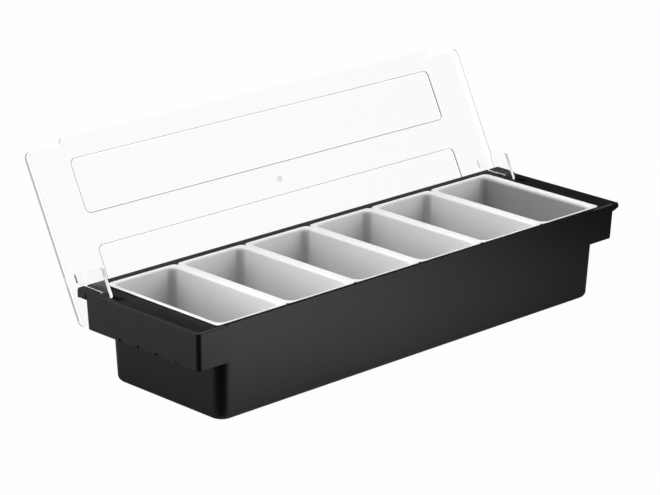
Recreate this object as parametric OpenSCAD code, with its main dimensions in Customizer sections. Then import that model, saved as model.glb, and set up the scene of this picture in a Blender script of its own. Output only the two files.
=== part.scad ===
// Condiment caddy: a black housing, six white pans that hang in it, and a clear lid.
// The lid hangs on two ears, whose pins turn in lugs under the end flanges.
// Frame: X along the length, Y from front to back, Z up; the origin is under the middle of the foot.

/* [Housing] */
// Length between the outer faces of the end skirts, at the top
body_l = 480; // [460:2:520]
// Depth from the front face to the back face, at the foot
body_w = 127.4; // [120:0.2:140]
// Height of the top face above the table
body_h = 80; // [76:0.5:95]
// Step from the end skirts in to the lower body's ends, measured at the foot
end_step = 25; // [23:0.5:27]
// Height of the end skirts that hang beyond the lower body
skirt_h = 31.5; // [30:0.5:34]
// Wall thickness
wall = 2; // [1.6:0.1:2.4]
// Thickness of the floor of the ice well
floor_t = 3; // [2:0.5:5]
// Draft of every moulded wall, in degrees
draft = 2.3; // [1.5:0.1:2.6]
// Radius of the vertical corners of the end skirts
skirt_r = 3.5; // [2.5:0.5:5]
// Radius of the vertical corners of the lower body
base_r = 10; // [6:0.5:12]
// Radius of the lower edge of the body
foot_r = 5; // [3:0.5:7]

/* [Flange] */
// Thickness of the top flange
flange_t = 2.6; // [2.2:0.1:3]
// Reach of the flange past the back face
back_reach = 8.6; // [8:0.1:9.2]
// Reach of the flange past the right end skirt
right_reach = 5.6; // [5:0.1:6]
// Height of the lip that is turned down along the back
back_drop = 7.5; // [7:0.5:10]
// Height of the bead along the back, above the flange
bead_rise = 1.6; // [1:0.1:1.8]
// Radius of the bead's outer edge
bead_r = 3.5; // [3.4:0.1:4]
// Height of the right lip at its edge
right_drop = 5.4; // [4.5:0.1:7]
// Height of the web that carries the right lip on the skirt
right_web = 7.3; // [6:0.1:9]
// Thickness of the turned-down lip
lip_t = 2.6; // [2:0.1:3]
// Radius of the flange's rounded top edge
lip_r = 3; // [2.7:0.1:3.2]
// Height of the hump beside each slot, above the flange
hump_h = 1.8; // [1:0.1:2]
// Length of the humps from the back edge forward
hump_l = 23; // [18:0.5:28]
// Radius of the humps' back edge
hump_r = 4; // [3.5:0.1:5]
// Radius in plan of the flange's two back corners
flange_corner_r = 5; // [4:0.5:8]
// Length of each slot for an ear, along the depth
slot_l = 31; // [30:0.5:34]
// Width of the four drain notches in the lower edge of each skirt
notch_w = 6; // [4:0.5:8]
// Height of the drain notches
notch_h = 2.6; // [1.5:0.1:4]
// Corner radius of the drain notches
notch_r = 1.2; // [0.8:0.1:1.4]
// Spacing of the drain notches
notch_pitch = 21.5; // [15:0.5:24]
// Place of the middle of the row of notches, in front of the middle of the depth
notch_offset = 8; // [0:0.5:12]

/* [Pans] */
// Height of the narrow ridge round the well, on which the rims rest
seat_rise = 0.7; // [0.4:0.1:1]
// Width of that ridge
seat_w = 0.5; // [0.4:0.1:1]
// Width of the housing's edge that carries the end pans' rims
rim_bearing = 3.3; // [2.5:0.1:4]
// Distance of the rims' front and back edges from the housing's faces
rim_set = 1.2; // [0.8:0.1:1.4]
// Gap between the rims of two neighbours
pan_gap = 0.3; // [0.2:0.1:0.6]
// Width of a pan's rim beside its neighbours, from the outer edge to the mouth
rim_w = 5.2; // [5:0.1:6]
// Width of a pan's rim at the front and at the back
rim_front_w = 2.8; // [2.7:0.1:4.5]
// Thickness of a pan's rim
rim_t = 0.8; // [0.7:0.1:1.2]
// Wall thickness of a pan
pan_wall = 1.5; // [1.2:0.1:1.8]
// Depth of a pan, from the top of its rim to its underside
pan_depth = 68; // [55:1:72]
// Radius of a rim's back corners
rim_r = 5; // [3:0.5:6]
// Radius of a rim's front corners
rim_front_r = 2.5; // [1.5:0.5:5]
// Corner radius of a pan's outside, under the rim
mouth_r = 8; // [6:0.5:12]
// Radius of the inner edge where the mouth turns into the rim
mouth_edge_r = 2; // [1:0.1:2.4]
// Radius between a pan's walls and its floor
pan_floor_r = 8; // [5:0.5:10]

/* [Lid] */
// Reach of the lid past the flange at each end
lid_side = 2.9; // [2.5:0.1:4]
// Depth of the lid without its finger lip
lid_w = 145; // [143:0.5:147]
// Thickness of the lid
lid_t = 2; // [1.8:0.1:2]
// Height of the closed lid's top above the flange
lid_rise = 9; // [9:0.1:9.6]
// Reach of the closed lid behind the flange
lid_back = 4.5; // [4:0.1:5]
// Depth of the small skirt along the lid's ends
lid_skirt = 4.6; // [4:0.1:4.8]
// Corner radius of the lid in plan
lid_r = 6; // [4:0.5:9]
// Reach of the finger lip past the front edge
finger_lip = 5; // [4:0.5:8]
// Distance of the finger lip's ends from the ends of the lid
lip_inset = 37; // [30:1:45]
// Height of the two raised fields on the lid
field_rise = 1.2; // [0.6:0.1:1.6]
// Depth of each raised field, from front to back
field_w = 46; // [40:1:48]
// Distance of the fields from the front and back edges
field_edge = 13.3; // [11:0.1:16]
// Distance of the fields from the ends of the lid
field_inset = 41.2; // [35:0.2:50]
// Corner radius of the fields
field_r = 5; // [3:0.5:8]
// Radius of the gate mark in the middle of the lid
gate_r = 2.4; // [1.5:0.1:3]

/* [Hinge] */
// Distance of the hinge axis in front of the flange's back edge
hinge_in = 13; // [12.6:0.1:13.2]
// Depth of the hinge axis below the top of the flange
hinge_drop = 8.1; // [7.9:0.1:8.3]
// Turn of the lid from lying level to standing open, in degrees
lid_open = 117.2; // [112:0.2:118]
// Distance of each ear's middle from the housing's end
ear_in = 8; // [7.5:0.5:9]
// Thickness of the ears
ear_t = 3; // [2.6:0.1:3.4]
// Reach of the ears below the lid's top
ear_reach = 38; // [36:0.5:39]
// Distance of the ears' front edge from the lid's back edge, at the panel
ear_front = 42; // [40:0.5:43]
// Radius of the ears' outer corners
ear_r = 2.5; // [1.5:0.5:4]
// Radius of the hinge pins
pin_r = 2.2; // [1.8:0.1:2.4]
// Radial clearance between a pin and its bore
pin_clear = 0.05; // [0.02:0.01:0.1]
// Length of a pin inside its lug
pin_grip = 5; // [3:0.5:6]
// Thickness of the lugs that hold the pins
lug_t = 6.5; // [6:0.5:7]

/* [Hidden] */
well_r = min(base_r - wall, mouth_r);
$fn = 48;
eps = 0.01;
hull_fn = 32;
gap = 0.4; // running gap between the lid's ears and what they pass
ear_taper = 2.5; // the ears' front edges draw back by this much on their way down
lean = tan(draft);
base_l = body_l - 2 * end_step;
body_top_w = body_w + 2 * body_h * lean;
skirt_z = body_h - skirt_h;
back_edge = body_top_w / 2 + back_reach;
right_edge = body_l / 2 + right_reach;
under_flange = body_h - flange_t;
lid_l = body_l + right_reach + 2 * lid_side;
ear_x = body_l / 2 - ear_in;
well_l = base_l + 2 * (body_h * lean - wall); // at the top
hinge_y = back_edge - hinge_in;
hinge_z = body_h - hinge_drop;
pin_v = hinge_in + lid_back; // the pin's place from the lid's back edge, along the panel
pin_w = lid_rise + hinge_drop; // the pin's depth below the lid's top
neck_r = pin_r + 1;
slot_w = ear_t + 2 * 1.7;
slot_back = hinge_y - 1.5;
lug_out = ear_x - ear_t / 2 - 1.5; // outer face of a lug
lug_r = pin_r + 1.8;
lid_mid = right_reach / 2; // the lid is centred on the flange, not on the housing
rim_depth = body_top_w - 2 * rim_set;
pan_count = 6;
pan_pitch = (well_l + 2 * rim_bearing + pan_gap) / pan_count;
rim_l = pan_pitch - pan_gap;
mouth_l = rim_l - 2 * rim_w;
mouth_w = rim_depth - 2 * rim_front_w;
seat_z = body_h + seat_rise;
rim_top = seat_z + rim_t;
pan_z = rim_top - pan_depth;

// Flat rectangle with round corners
module rounded_rect(l, w, r) {
    square([l - 2 * r, w], center = true);
    square([l, w - 2 * r], center = true);
    for (sx = [-1, 1], sy = [-1, 1])
        translate([sx * (l / 2 - r), sy * (w / 2 - r)]) circle(r);
}

// Thin slice of a rounded block at height z
module slice(l, w, r, z) {
    translate([0, 0, z]) linear_extrude(eps) rounded_rect(l, w, r, $fn = hull_fn);
}

// Solid lower body up to a height, with its round lower edge
module lower_block(top) {
    hull() {
        for (a = [0:30:90]) {
            inset = foot_r * (1 - sin(a));
            z = foot_r * (1 - cos(a));
            slice(base_l + 2 * (z * lean - inset), body_w + 2 * (z * lean - inset), base_r, z);
        }
        slice(base_l + 2 * top * lean, body_w + 2 * top * lean, base_r, top - eps);
    }
}

// Solid upper band, in by a margin on every side, from z0 to z1
module upper_block(margin, r, z0, z1) {
    hull() {
        for (z = [z0, z1 - eps]) {
            grow = (z - body_h) * lean;
            slice(body_l + 2 * (grow - margin), body_top_w + 2 * (grow - margin), r, z);
        }
    }
}

// Room for ice and pans
module well() {
    hull() {
        for (z = [floor_t, body_h + 1]) {
            l = base_l + 2 * (z * lean - wall);
            w = body_w + 2 * (z * lean - wall);
            slice(l, w, well_r, z);
        }
    }
}

// Ridge round the well
module seat() {
    grow = 2 * (seat_w - wall);
    translate([0, 0, body_h - eps]) linear_extrude(seat_rise + eps)
        rounded_rect(base_l + 2 * body_h * lean + grow, body_top_w + grow, well_r + seat_w);
}

// Section of the back lip and its bead, with zero at the flange's outer edge and top
module back_lip_section() {
    foot = lip_t / 2;
    translate([-bead_r, bead_rise - bead_r]) circle(bead_r);
    translate([-lip_t, foot - back_drop]) square([lip_t, back_drop - foot + bead_rise - bead_r]);
    translate([-foot, foot - back_drop]) circle(foot);
    polygon([
        [0.2 - back_reach, -flange_t],
        [-lip_t, -flange_t],
        [-lip_t, bead_rise - bead_r],
        [-bead_r, bead_rise],
        [0.2 - back_reach, 0]
    ]);
}

// Lip along the back, and round the right back corner
module back_lip() {
    r = flange_corner_r;
    translate([-body_l / 2, back_edge, body_h]) rotate([90, 0, 90])
        linear_extrude(right_edge - r + body_l / 2) back_lip_section();
    translate([right_edge - r, back_edge - r, body_h])
        rotate_extrude(angle = 90) translate([r, 0]) intersection() {
            back_lip_section();
            translate([-r, -2 * back_drop]) square([2 * r, 3 * back_drop]);
        }
}

// Solid lip along the right end, on a web that slopes back to the skirt
module right_lip() {
    front = body_top_w / 2 - right_web * lean;
    translate([right_edge, -front, body_h]) rotate([90, 0, 180])
        linear_extrude(front + back_edge - flange_corner_r) mirror([1, 0]) right_lip_section();
}

// Section of the right lip, with zero at the flange's outer edge and top
module right_lip_section() {
    edge_r = 1.5;
    inner = -right_reach - wall / 2;
    translate([-lip_r, -lip_r]) circle(lip_r);
    translate([-edge_r, edge_r - right_drop]) circle(edge_r);
    polygon([
        [inner, 0],
        [-lip_r, 0],
        [0, -lip_r],
        [0, edge_r - right_drop],
        [-edge_r, -right_drop],
        [inner, -right_web]
    ]);
}

// Flat part of the flange, inside its lips
module flange_plate() {
    r = flange_corner_r;
    y0 = -body_top_w / 2;
    x0 = -body_l / 2;
    x1 = right_edge - bead_r;
    y1 = back_edge - bead_r;
    translate([0, 0, under_flange]) linear_extrude(flange_t) {
        translate([x0, y0 + skirt_r]) square([x1 - x0 - r, y1 - y0 - skirt_r]);
        translate([x0, y0 + skirt_r]) square([x1 - x0, y1 - y0 - skirt_r - r]);
        translate([x0 + skirt_r, y0]) square([x1 - x0 - skirt_r, skirt_r + 1]);
        translate([x0 + skirt_r, y0 + skirt_r]) circle(skirt_r);
        translate([x1 - r + bead_r, y1 - r + bead_r]) circle(r - bead_r);
    }
}

// Cheek beyond a slot: it closes the end of the back lip and rises in a hump
module cheek(side) {
    inner = ear_x + slot_w / 2;
    outer = side > 0 ? right_edge - 1 : body_l / 2 - 0.4;
    x = side > 0 ? inner : -outer;
    translate([x, back_edge, body_h]) rotate([90, 0, 90])
        linear_extrude(outer - inner) cheek_section();
}

// Section of a cheek, with zero at the flange's back edge and top
module cheek_section() {
    foot_round = 3.5;
    under = -back_drop;
    seat = -back_reach - wall / 2;
    ramp = 6;
    translate([-hump_r, hump_h - hump_r]) circle(hump_r);
    translate([-foot_round, under + foot_round]) circle(foot_round);
    polygon([
        [0, hump_h - hump_r],
        [-hump_r, hump_h],
        [-hump_l + ramp, hump_h],
        [-hump_l, -eps],
        [-hump_l, -flange_t],
        [seat, -flange_t],
        [seat, under],
        [-foot_round, under],
        [0, under + foot_round]
    ]);
}

// Slot through the flange, a window in the back wall, and a gap in the bead, for one ear
module ear_way(side) {
    translate([side * ear_x - slot_w / 2, slot_back - slot_l, under_flange - 3 * wall])
        cube([slot_w, slot_l, flange_t + 4 * wall]);
    translate([side * ear_x - slot_w / 2, hinge_y - neck_r, skirt_z - 1])
        cube([slot_w, 4 * wall + neck_r, under_flange - skirt_z + 1]);
    translate([side * ear_x - slot_w / 2, slot_back - 1, body_h])
        cube([slot_w, back_reach + 2 * wall + 5, hump_h + 1]);
}

// Lug under the flange that takes a hinge pin
module lug(side) {
    x = side > 0 ? lug_out - lug_t : -lug_out;
    translate([x, hinge_y, hinge_z]) rotate([0, 90, 0]) cylinder(r = lug_r, h = lug_t);
    translate([x, hinge_y - lug_r, hinge_z])
        cube([lug_t, 2 * lug_r, under_flange - hinge_z + eps]);
}

// Bore of a lug
module lug_bore(side) {
    x = side > 0 ? lug_out - lug_t - 1 : -lug_out - 1;
    translate([x, hinge_y, hinge_z])
        rotate([0, 90, 0]) cylinder(r = pin_r + pin_clear, h = lug_t + 2);
}

// Notches that let water out of the end skirts
module drain_notches(side) {
    for (k = [-1.5:1:1.5])
        translate([side * body_l / 2 - 3 * wall, k * notch_pitch - notch_offset, skirt_z])
            rotate([90, 0, 90]) linear_extrude(6 * wall)
                rounded_rect(notch_w, 2 * notch_h, notch_r);
}

module housing() {
    color([0.16, 0.16, 0.17]) difference() {
        union() {
            difference() {
                union() {
                    upper_block(0, skirt_r, skirt_z, body_h);
                    flange_plate();
                    back_lip();
                    right_lip();
                    for (side = [-1, 1]) cheek(side);
                }
                difference() {
                    upper_block(wall, skirt_r - 1, skirt_z - 1, under_flange);
                    lower_block(body_h);
                }
            }
            lower_block(body_h);
            seat();
            for (side = [-1, 1]) lug(side);
        }
        well();
        for (side = [-1, 1]) {
            ear_way(side);
            lug_bore(side);
            drain_notches(side);
        }
    }
}

// One pan of the row, counted from the left
module pan(i) {
    body_l_top = mouth_l + 2 * pan_wall;
    body_w_top = mouth_w + 2 * pan_wall;
    shrink = (seat_z - pan_z) * lean;
    color([0.95, 0.95, 0.93]) translate([(i - (pan_count + 1) / 2) * pan_pitch, 0, 0]) difference() {
        union() {
            translate([0, 0, seat_z]) linear_extrude(rim_t) {
                rounded_rect(rim_l, rim_depth, rim_r);
                translate([0, -rim_depth / 4]) rounded_rect(rim_l, rim_depth / 2, rim_front_r);
            }
            hull() {
                slice(body_l_top, body_w_top, mouth_r, seat_z);
                for (a = [0:30:90])
                    pan_slice(body_l_top, body_w_top, mouth_r, shrink, pan_floor_r, a, pan_z);
            }
        }
        hull() {
            slice(mouth_l, mouth_w, mouth_r - pan_wall, rim_top - mouth_edge_r);
            for (a = [0:30:90])
                pan_slice(mouth_l, mouth_w, mouth_r - pan_wall, shrink, pan_floor_r - pan_wall, a,
                    pan_z + pan_wall);
        }
        for (a = [0:30:60]) hull() {
            mouth_slice(a);
            mouth_slice(a + 30);
        }
    }
}

// Slice of the round lower edge of a pan, at angle a of its fillet
module pan_slice(l, w, r, shrink, fillet, a, z) {
    inset = shrink + fillet * (1 - sin(a));
    slice(l - 2 * inset, w - 2 * inset, r, z + fillet * (1 - cos(a)));
}

// Slice of the round edge where the mouth opens into the rim
module mouth_slice(a) {
    grow = mouth_edge_r * (1 - cos(a));
    z = rim_top - mouth_edge_r * (1 - sin(a)) - eps + a / 90 * 3 * eps;
    slice(mouth_l + 2 * grow, mouth_w + 2 * grow, mouth_r - pan_wall + grow, z);
}

// Panel of the lid, lying level: v runs forward from the back edge, and the top is at zero
module lid_plan(margin, r) {
    translate([lid_mid, -lid_w / 2]) rounded_rect(lid_l - 2 * margin, lid_w - 2 * margin, r);
}

// One of the two fields pressed into the lid
module field_plan(k, margin) {
    v = k > 0 ? field_edge + field_w / 2 : lid_w - field_edge - field_w / 2;
    translate([lid_mid, -v])
        rounded_rect(lid_l - 2 * (field_inset + margin), field_w - 2 * margin, field_r - margin);
}

// Outline of an ear, seen from the side, with the lid's top at zero and its back edge at zero
module ear_outline() {
    // the edge that comes down on the flange when the lid stands open
    c = cos(180 - lid_open);
    s = sin(180 - lid_open);
    reach = hinge_drop + gap;
    v_neck = pin_v + neck_r;
    w_neck = pin_w + (reach - neck_r * s) / c;
    v_top = pin_v + (reach + (pin_w - lid_t / 2) * c) / s;
    translate([-pin_v, -pin_w]) circle(neck_r);
    r = ear_r;
    x_front = -ear_front + ear_taper;
    x_back = -pin_v + neck_r;
    translate([x_front + r, -ear_reach + r]) circle(r);
    translate([x_back - r, -ear_reach + r]) circle(r);
    polygon([
        [-v_top, -lid_t / 2],
        [-ear_front, -lid_t / 2],
        [x_front, -ear_reach + r],
        [x_front + r, -ear_reach],
        [x_back - r, -ear_reach],
        [x_back, -ear_reach + r],
        [x_back, -pin_w],
        [-v_neck, -pin_w],
        [-v_neck, -w_neck]
    ]);
}

// The lid lying level, with its back edge along Y = 0 and its top at Z = 0
module lid_level() {
    difference() {
        union() {
            translate([0, 0, -lid_t]) linear_extrude(lid_t) lid_plan(0, lid_r);
            for (k = [-1, 1])
                translate([0, 0, -eps]) linear_extrude(field_rise + eps) field_plan(k, 0);
            finger_lip();
            end_skirts();
        }
        for (k = [-1, 1])
            translate([0, 0, -lid_t - 1]) linear_extrude(1 + field_rise) field_plan(k, lid_t / 2);
    }
    for (side = [-1, 1]) ear(side);
    translate([lid_mid, -lid_w / 2, -eps]) cylinder(r = gate_r, h = 0.4 + eps);
}

// Grip along the front edge
module finger_lip() {
    half = lid_l / 2 - lip_inset;
    r = finger_lip - 0.5;
    translate([lid_mid, -lid_w, -lid_t]) linear_extrude(lid_t) {
        translate([-half, -finger_lip + r]) square([2 * half, finger_lip - r + 1]);
        translate([-half + r, -finger_lip]) square([2 * (half - r), r + 1]);
        for (sx = [-1, 1])
            translate([sx * (half - r), -finger_lip + r]) circle(r);
    }
}

// Small skirt along both ends and round the two front corners
module end_skirts() {
    translate([0, 0, -lid_skirt]) linear_extrude(lid_skirt) difference() {
        lid_plan(0, lid_r);
        lid_plan(lid_t, lid_r - lid_t);
        translate([lid_mid, -lid_w]) square([lid_l - 2 * lip_inset, 4 * lid_t], center = true);
        translate([lid_mid - lid_l, -lid_r]) square([2 * lid_l, 4 * lid_r]);
    }
}

// Ear with its pin; the pin points inward
module ear(side) {
    x = side * ear_x;
    inner = x - side * ear_t / 2;
    tip = side * (lug_out - pin_grip);
    translate([x, 0, 0]) rotate([90, 0, 90])
        linear_extrude(ear_t, center = true) ear_outline();
    translate([min(inner, tip), -pin_v, -pin_w])
        rotate([0, 90, 0]) cylinder(r = pin_r, h = abs(inner - tip));
}

module lid() {
    color([0.8, 0.88, 0.92, 0.4])
        translate([0, hinge_y, hinge_z]) rotate([-lid_open, 0, 0])
            translate([0, pin_v, pin_w]) lid_level();
}

housing();
lid();
pan(1);  // pan_1
pan(2);  // pan_2
pan(3);  // pan_3
pan(4);  // pan_4
pan(5);  // pan_5
pan(6);  // pan_6
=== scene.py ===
# %% [markdown]
# # A condiment caddy with a clear flip lid
# The caddy stands on a bar: a black housing, six white pans that hang in it by their rims, and a clear lid
# that has been flipped back. The construction is already solid and fixed, and is loaded as the frame. This
# lesson gives each piece the finish of its plastic: soft edges, fine mould texture, and light that shows
# them.

# %% Load the frame
import math

import bmesh
import bpy
from mathutils import Matrix, Vector


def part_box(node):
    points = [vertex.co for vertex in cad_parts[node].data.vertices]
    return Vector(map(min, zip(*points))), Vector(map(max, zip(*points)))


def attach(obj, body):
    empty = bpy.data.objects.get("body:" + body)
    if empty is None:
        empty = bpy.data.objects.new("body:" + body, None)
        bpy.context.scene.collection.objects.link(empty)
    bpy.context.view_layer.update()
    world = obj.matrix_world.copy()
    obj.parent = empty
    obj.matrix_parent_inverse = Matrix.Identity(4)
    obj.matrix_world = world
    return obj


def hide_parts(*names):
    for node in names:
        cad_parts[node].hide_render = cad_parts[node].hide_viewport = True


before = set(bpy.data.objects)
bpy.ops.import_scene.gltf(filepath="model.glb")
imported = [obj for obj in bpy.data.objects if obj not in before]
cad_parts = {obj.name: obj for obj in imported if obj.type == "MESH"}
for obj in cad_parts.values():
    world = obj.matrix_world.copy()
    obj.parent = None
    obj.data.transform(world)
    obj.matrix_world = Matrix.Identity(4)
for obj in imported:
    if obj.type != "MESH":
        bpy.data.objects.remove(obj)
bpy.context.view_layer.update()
MM = 0.001

# %% [markdown]
# ## The camera
# The photograph was taken with a long lens from the left front and a little above. Its angles were worked
# out from the straight edges of the housing, so they are plain numbers here, and the aim point is given in
# the picture's own directions: so far to the right and so far up from the middle of the foot.

# %% Camera
PHOTO_WIDTH = 660
FOCAL_PIXELS = 2801
SENSOR = 36
AZIMUTH, ELEVATION, ROLL = (math.radians(a) for a in (44.33, 18.31, 0.41))
CAMERA_DISTANCE = 2324 * MM
AIM_RIGHT, AIM_UP = -26.8 * MM, 73.6 * MM


def place_camera():
    """A camera that stands where the photographer stood."""
    level = math.cos(ELEVATION)
    forward = Vector((math.sin(AZIMUTH) * level, math.cos(AZIMUTH) * level, -math.sin(ELEVATION)))
    right = Vector((math.cos(AZIMUTH), -math.sin(AZIMUTH), 0))
    up = right.cross(forward)
    place = right * AIM_RIGHT + up * AIM_UP - forward * CAMERA_DISTANCE
    rolled_right = right * math.cos(ROLL) + up * math.sin(ROLL)
    rolled_up = up * math.cos(ROLL) - right * math.sin(ROLL)
    turn = Matrix((rolled_right, rolled_up, -forward)).transposed().to_4x4()
    data = bpy.data.cameras.new("photographer")
    data.sensor_width = SENSOR
    data.lens = SENSOR * FOCAL_PIXELS / PHOTO_WIDTH
    data.clip_end = 50
    camera = bpy.data.objects.new("photographer", data)
    camera.matrix_world = Matrix.Translation(place) @ turn
    bpy.context.scene.collection.objects.link(camera)
    bpy.context.scene.camera = camera
    return camera


camera = place_camera()
print("camera at", [round(v, 3) for v in camera.location], "lens", round(camera.data.lens, 1))

# %% [markdown]
# ## Node helpers
# Every finish is a small graph of nodes. The helpers keep the graphs readable: one makes an empty material
# with its shader, others do sums and mix colours, and the last two add what every moulded plastic has: a
# fine bump and a colour that drifts a little.

# %% Material helpers
def new_material(name):
    """An empty material with a Principled shader, its nodes and its links."""
    material = bpy.data.materials.new(name)
    material.use_nodes = True
    nodes, links = material.node_tree.nodes, material.node_tree.links
    return material, nodes, links, nodes["Principled BSDF"]


def object_noise(nodes, links, scale, detail=3.0, roughness=0.5):
    """Noise that sticks to the piece, with scale in features per metre."""
    place = nodes.new("ShaderNodeTexCoord")
    noise = nodes.new("ShaderNodeTexNoise")
    noise.inputs["Scale"].default_value = scale
    noise.inputs["Detail"].default_value = detail
    noise.inputs["Roughness"].default_value = roughness
    links.new(place.outputs["Object"], noise.inputs["Vector"])
    return noise


def spread(nodes, links, noise, low, high):
    """The noise, turned into values from low to high."""
    ramp = nodes.new("ShaderNodeMapRange")
    ramp.inputs["From Min"].default_value = 0.3
    ramp.inputs["From Max"].default_value = 0.7
    ramp.inputs["To Min"].default_value = low
    ramp.inputs["To Max"].default_value = high
    links.new(noise.outputs["Fac"], ramp.inputs["Value"])
    return ramp.outputs["Result"]


def maths(nodes, links, operation, *values):
    """A Math node whose inputs are numbers or other nodes' outputs."""
    node = nodes.new("ShaderNodeMath")
    node.operation = operation
    for socket, value in zip(node.inputs, values):
        if isinstance(value, (int, float)):
            socket.default_value = value
        else:
            links.new(value, socket)
    return node.outputs[0]


def product(nodes, links, first, *others):
    """All the values multiplied together."""
    for other in others:
        first = maths(nodes, links, "MULTIPLY", first, other)
    return first


def parts_of(nodes, links, vector):
    """The X, Y and Z of a vector."""
    node = nodes.new("ShaderNodeSeparateXYZ")
    links.new(vector, node.inputs[0])
    return node.outputs


def along(nodes, links, direction, fixed):
    """How far a direction points along a fixed one."""
    node = nodes.new("ShaderNodeVectorMath")
    node.operation = "DOT_PRODUCT"
    node.inputs[1].default_value = fixed
    links.new(direction, node.inputs[0])
    return node.outputs["Value"]


def mixed(nodes, links, share, first, second):
    """A colour between two others, each of which is a colour or another node's output."""
    mix = nodes.new("ShaderNodeMix")
    mix.data_type = "RGBA"
    links.new(share, mix.inputs[0])
    for socket, colour in ((mix.inputs[6], first), (mix.inputs[7], second)):
        if isinstance(colour, tuple):
            socket.default_value = (*colour, 1)
        else:
            links.new(colour, socket)
    return mix.outputs[2]


def ranged(nodes, links, value, start, end, low=0.0, high=1.0):
    """A smooth step from low to high, as the value goes from start to end."""
    ramp = nodes.new("ShaderNodeMapRange")
    ramp.interpolation_type = "SMOOTHSTEP"
    ramp.inputs["From Min"].default_value = start
    ramp.inputs["From Max"].default_value = end
    ramp.inputs["To Min"].default_value = low
    ramp.inputs["To Max"].default_value = high
    links.new(value, ramp.inputs["Value"])
    return ramp.outputs["Result"]


def mould_texture(nodes, links, shader, grain, depth):
    """Fine grain of the mould's steel, as bump, with its depth in metres."""
    noise = object_noise(nodes, links, grain, detail=2.0)
    bump = nodes.new("ShaderNodeBump")
    bump.inputs["Strength"].default_value = 1.0
    bump.inputs["Distance"].default_value = depth
    links.new(noise.outputs["Fac"], bump.inputs["Height"])
    links.new(bump.outputs["Normal"], shader.inputs["Normal"])


def tone(nodes, links, shader, dark, light, scale):
    """A base colour that drifts between two close tones."""
    colour = mixed(nodes, links, object_noise(nodes, links, scale).outputs["Fac"], dark, light)
    links.new(colour, shader.inputs["Base Color"])
    return colour


# %% [markdown]
# ## The three plastics
# The housing is black ABS with a satin grain. The pans are white polypropylene, a little waxy, and thin.
# Inside,
# their white is painted darker: painted shade with depth and in the corners, and on the row's end walls
# painted shade together with the black housing that stands behind the thin white. The lid is a clear plastic:
# light goes through its faces almost untouched, and only its cut and moulded edges look grey, because there
# the eye looks along the sheet. So the edges have a finish of their own, and so have the steps of the two
# fields and the small round mark between them. A faint painted glow stands for the light that runs inside
# the sheet.

# %% Black satin plastic
def black_satin():
    material, nodes, links, shader = new_material("black_satin")
    tone(nodes, links, shader, (0.002, 0.002, 0.0022), (0.004, 0.004, 0.0043), 35)
    gloss = spread(nodes, links, object_noise(nodes, links, 18), 0.34, 0.40)
    links.new(gloss, shader.inputs["Roughness"])
    mould_texture(nodes, links, shader, 2600, 0.000012)
    return material


# %% White satin plastic
# Painted shade inside the pans: the white turns towards this grey in the round corners and with depth, and on
# the row's end walls, where the black housing also stands behind the thin white.
BLACK_BEHIND_AND_SHADE = (0.26, 0.26, 0.26)
CORNER_SHADE, DEPTH_SHADE = 0.45, 0.40
END_WALLS, BELOW_RIM, DEEPER = (206 * MM, 211 * MM), (80 * MM, 77 * MM), (81 * MM, 48 * MM)
INWARDS, ACROSS = (-0.03, -0.19), (-0.1, 0.5)


def black_behind_and_shade(nodes, links):
    """How far the white inside a pan is painted darker: fully on the row's end walls, for the black housing
    behind the thin white and for painted shade, partly as painted shade in the round corners of every pan,
    and as more painted shade with depth."""
    geometry, object_place = nodes.new("ShaderNodeNewGeometry"), nodes.new("ShaderNodeTexCoord")
    place = parts_of(nodes, links, object_place.outputs["Object"])
    facing = parts_of(nodes, links, geometry.outputs["Normal"])
    at_end = ranged(nodes, links, maths(nodes, links, "ABSOLUTE", place["X"]), *END_WALLS)
    inward = ranged(nodes, links, product(nodes, links, place["X"], facing["X"]), *INWARDS)
    ends = product(nodes, links, at_end, inward)
    across = maths(nodes, links, "ABSOLUTE", product(nodes, links, facing["X"], facing["Y"]))
    corners = ranged(nodes, links, across, *ACROSS, 0.0, CORNER_SHADE)
    below_rim = ranged(nodes, links, place["Z"], *BELOW_RIM)
    depth = ranged(nodes, links, place["Z"], *DEEPER, 0, DEPTH_SHADE)
    black_and_shade = product(nodes, links, maths(nodes, links, "MAXIMUM", ends, corners), below_rim)
    rest = maths(nodes, links, "SUBTRACT", 1.0, black_and_shade)
    return maths(nodes, links, "MULTIPLY_ADD", rest, depth, black_and_shade)


def white_satin(name, inside):
    """The white of the pans; inside, painted shade darkens it, and on the end walls the black housing behind
    the thin white does too.
    """
    material, nodes, links, shader = new_material(name)
    plain = tone(nodes, links, shader, (0.69, 0.69, 0.685), (0.72, 0.72, 0.715), 25)
    # Inside, the base colour is painted darker: painted shade, and on the end walls also the black housing
    # behind.
    if inside:
        shaded_inside = mixed(nodes, links, black_behind_and_shade(nodes, links), plain, BLACK_BEHIND_AND_SHADE)
        links.new(shaded_inside, shader.inputs["Base Color"])
    gloss = spread(nodes, links, object_noise(nodes, links, 22), 0.42, 0.50)
    links.new(gloss, shader.inputs["Roughness"])
    mould_texture(nodes, links, shader, 1800, 0.00001)
    return material


# %% Clear plastic
def clear_plastic(name, colour, roughness, glow=0.0):
    """A clear plastic. Its emission is painted light: a glow for the light that runs inside the sheet and
    comes out at its edges, as strong as glow says.
    """
    material, nodes, links, shader = new_material(name)
    shader.inputs["Base Color"].default_value = (*colour, 1)
    shader.inputs["Roughness"].default_value = roughness
    shader.inputs["IOR"].default_value = 1.5
    shader.inputs["Transmission Weight"].default_value = 1.0
    # The emission is painted light: a glow for light that runs inside the sheet.
    shader.inputs["Emission Color"].default_value = (1, 1, 1, 1)
    shader.inputs["Emission Strength"].default_value = glow
    noise = object_noise(nodes, links, 12, detail=1.0)
    bump = nodes.new("ShaderNodeBump")
    bump.inputs["Distance"].default_value = 0.00006
    links.new(noise.outputs["Fac"], bump.inputs["Height"])
    links.new(bump.outputs["Normal"], shader.inputs["Normal"])
    return material


BLACK = black_satin()
# The inside white carries painted shade in its base colour.
WHITE, WHITE_INSIDE_SHADED = white_satin("white_satin", False), white_satin("white_inside_shaded", True)
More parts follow.
